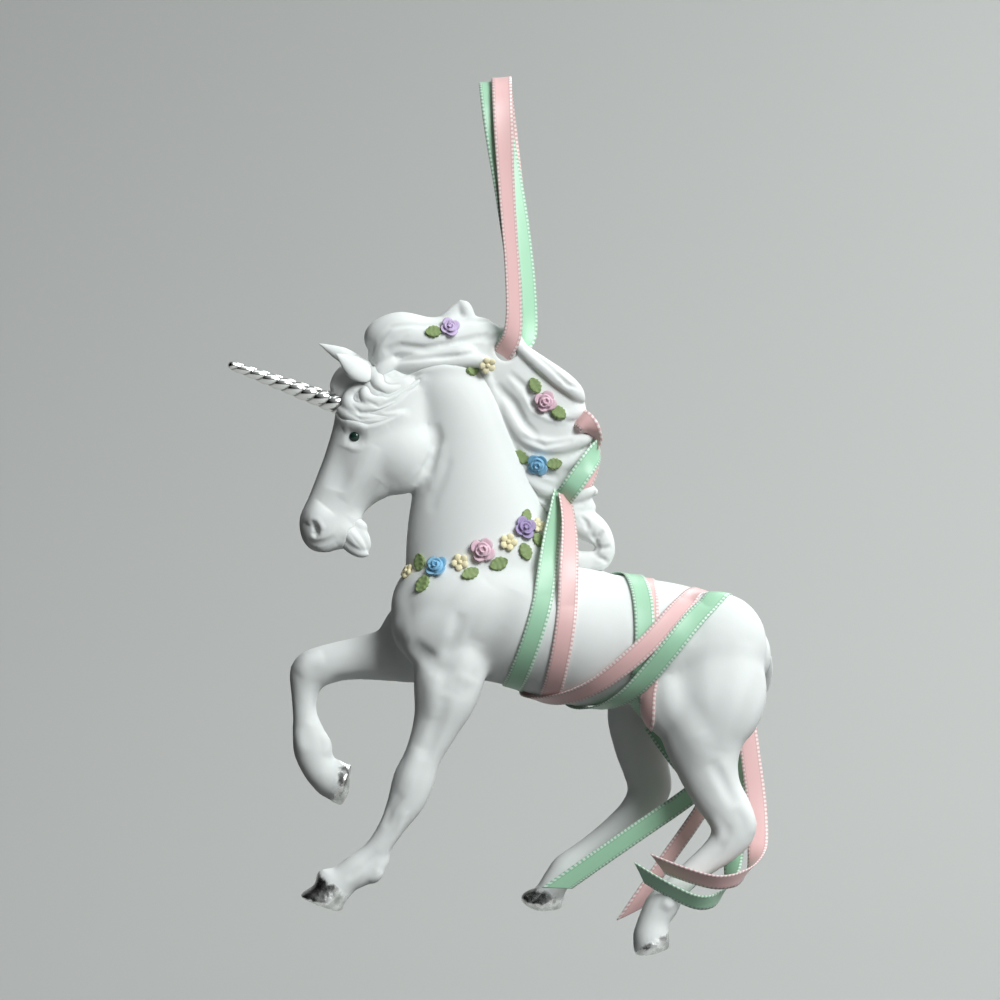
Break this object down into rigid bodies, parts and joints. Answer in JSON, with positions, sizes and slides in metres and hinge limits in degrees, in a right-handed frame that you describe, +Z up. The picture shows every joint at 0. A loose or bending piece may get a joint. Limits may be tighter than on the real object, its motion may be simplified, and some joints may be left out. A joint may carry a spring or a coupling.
{
  "type": "unicorn figurine",
  "caption": "Prancing bisque porcelain unicorn with a silver horn and hooves, pastel flowers and wound satin ribbons, hanging from a ribbon loop.",
  "frame": {"origin": "the point inside the top of the ribbon loop that bears on its hook", "axes": "+Z up, the unicorn faces -X, its left side faces -Y"},
  "size_m": [0.0808, 0.0244, 0.1364],
  "materials": {
    "bisque": "unglazed white bisque",
    "silver": "polished silver",
    "silver_wash": "rough silver wash",
    "eye_glaze": "glossy dark green",
    "rose_pink": "matte tinted bisque",
    "rose_blue": "matte tinted bisque",
    "rose_lilac": "matte tinted bisque",
    "rose_violet": "matte tinted bisque",
    "blossom_cream": "matte tinted bisque",
    "leaf_green": "matte tinted bisque",
    "satin_pink": "satin with a pale dotted edge",
    "satin_green": "satin with a pale dotted edge"
  },
  "bodies": {
    "hanger": {"hanger_ribbon_pink": "satin_pink", "hanger_ribbon_green": "satin_green"},
    "figurine": {"torso": "bisque", "neck": "bisque", "head": "bisque", "forelock": "bisque", "ear_left": "bisque", "ear_right": "bisque", "beard": "bisque", "horn": "silver", "eye_left": "eye_glaze", "eye_right": "eye_glaze", "foreleg_left": "bisque", "foreleg_right": "bisque", "hindleg_left": "bisque", "hindleg_right": "bisque", "fore_hoof_left": "silver_wash", "fore_hoof_right": "silver_wash", "hind_hoof_left": "silver_wash", "hind_hoof_right": "silver_wash", "tail": "bisque", "mane_panel": "bisque", "mane_crest": "bisque", "mane_lock": "bisque", "mane_curl": "bisque", "mane_rose_pink": "rose_pink", "mane_rose_blue": "rose_blue", "mane_rose_lilac": "rose_lilac", "mane_blossom": "blossom_cream", "mane_leaves": "leaf_green", "garland_rose_blue": "rose_blue", "garland_rose_pink": "rose_pink", "garland_rose_violet": "rose_violet", "garland_blossoms": "blossom_cream", "garland_leaves": "leaf_green", "girth_ribbon_pink": "satin_pink", "girth_ribbon_green": "satin_green", "flank_ribbon_pink": "satin_pink", "flank_ribbon_green": "satin_green", "mane_ribbon_pink": "satin_pink", "mane_ribbon_green": "satin_green"},
    "rump_tails": {"rump_tail_pink": "satin_pink", "rump_tail_green": "satin_green"},
    "inner_tails": {"inner_tail_pink": "satin_pink", "inner_tail_green": "satin_green"}
  },
  "joints": [
    {"name": "figurine_swing", "type": "hinge", "parent": "hanger", "child": "figurine", "pos_m": [0, 0, -0.0412], "axis": [0, 1, 0], "range_deg": [-25, 25]},
    {"name": "rump_tails_sway", "type": "hinge", "parent": "figurine", "child": "rump_tails", "pos_m": [0.03305, 0.0035, -0.1004], "axis": [0, 1, 0], "range_deg": [-15, 0]},
    {"name": "inner_tails_sway", "type": "hinge", "parent": "figurine", "child": "inner_tails", "pos_m": [0.01844, -0.0004, -0.1], "axis": [0, 1, 0], "range_deg": [-8, 8]}
  ]
}
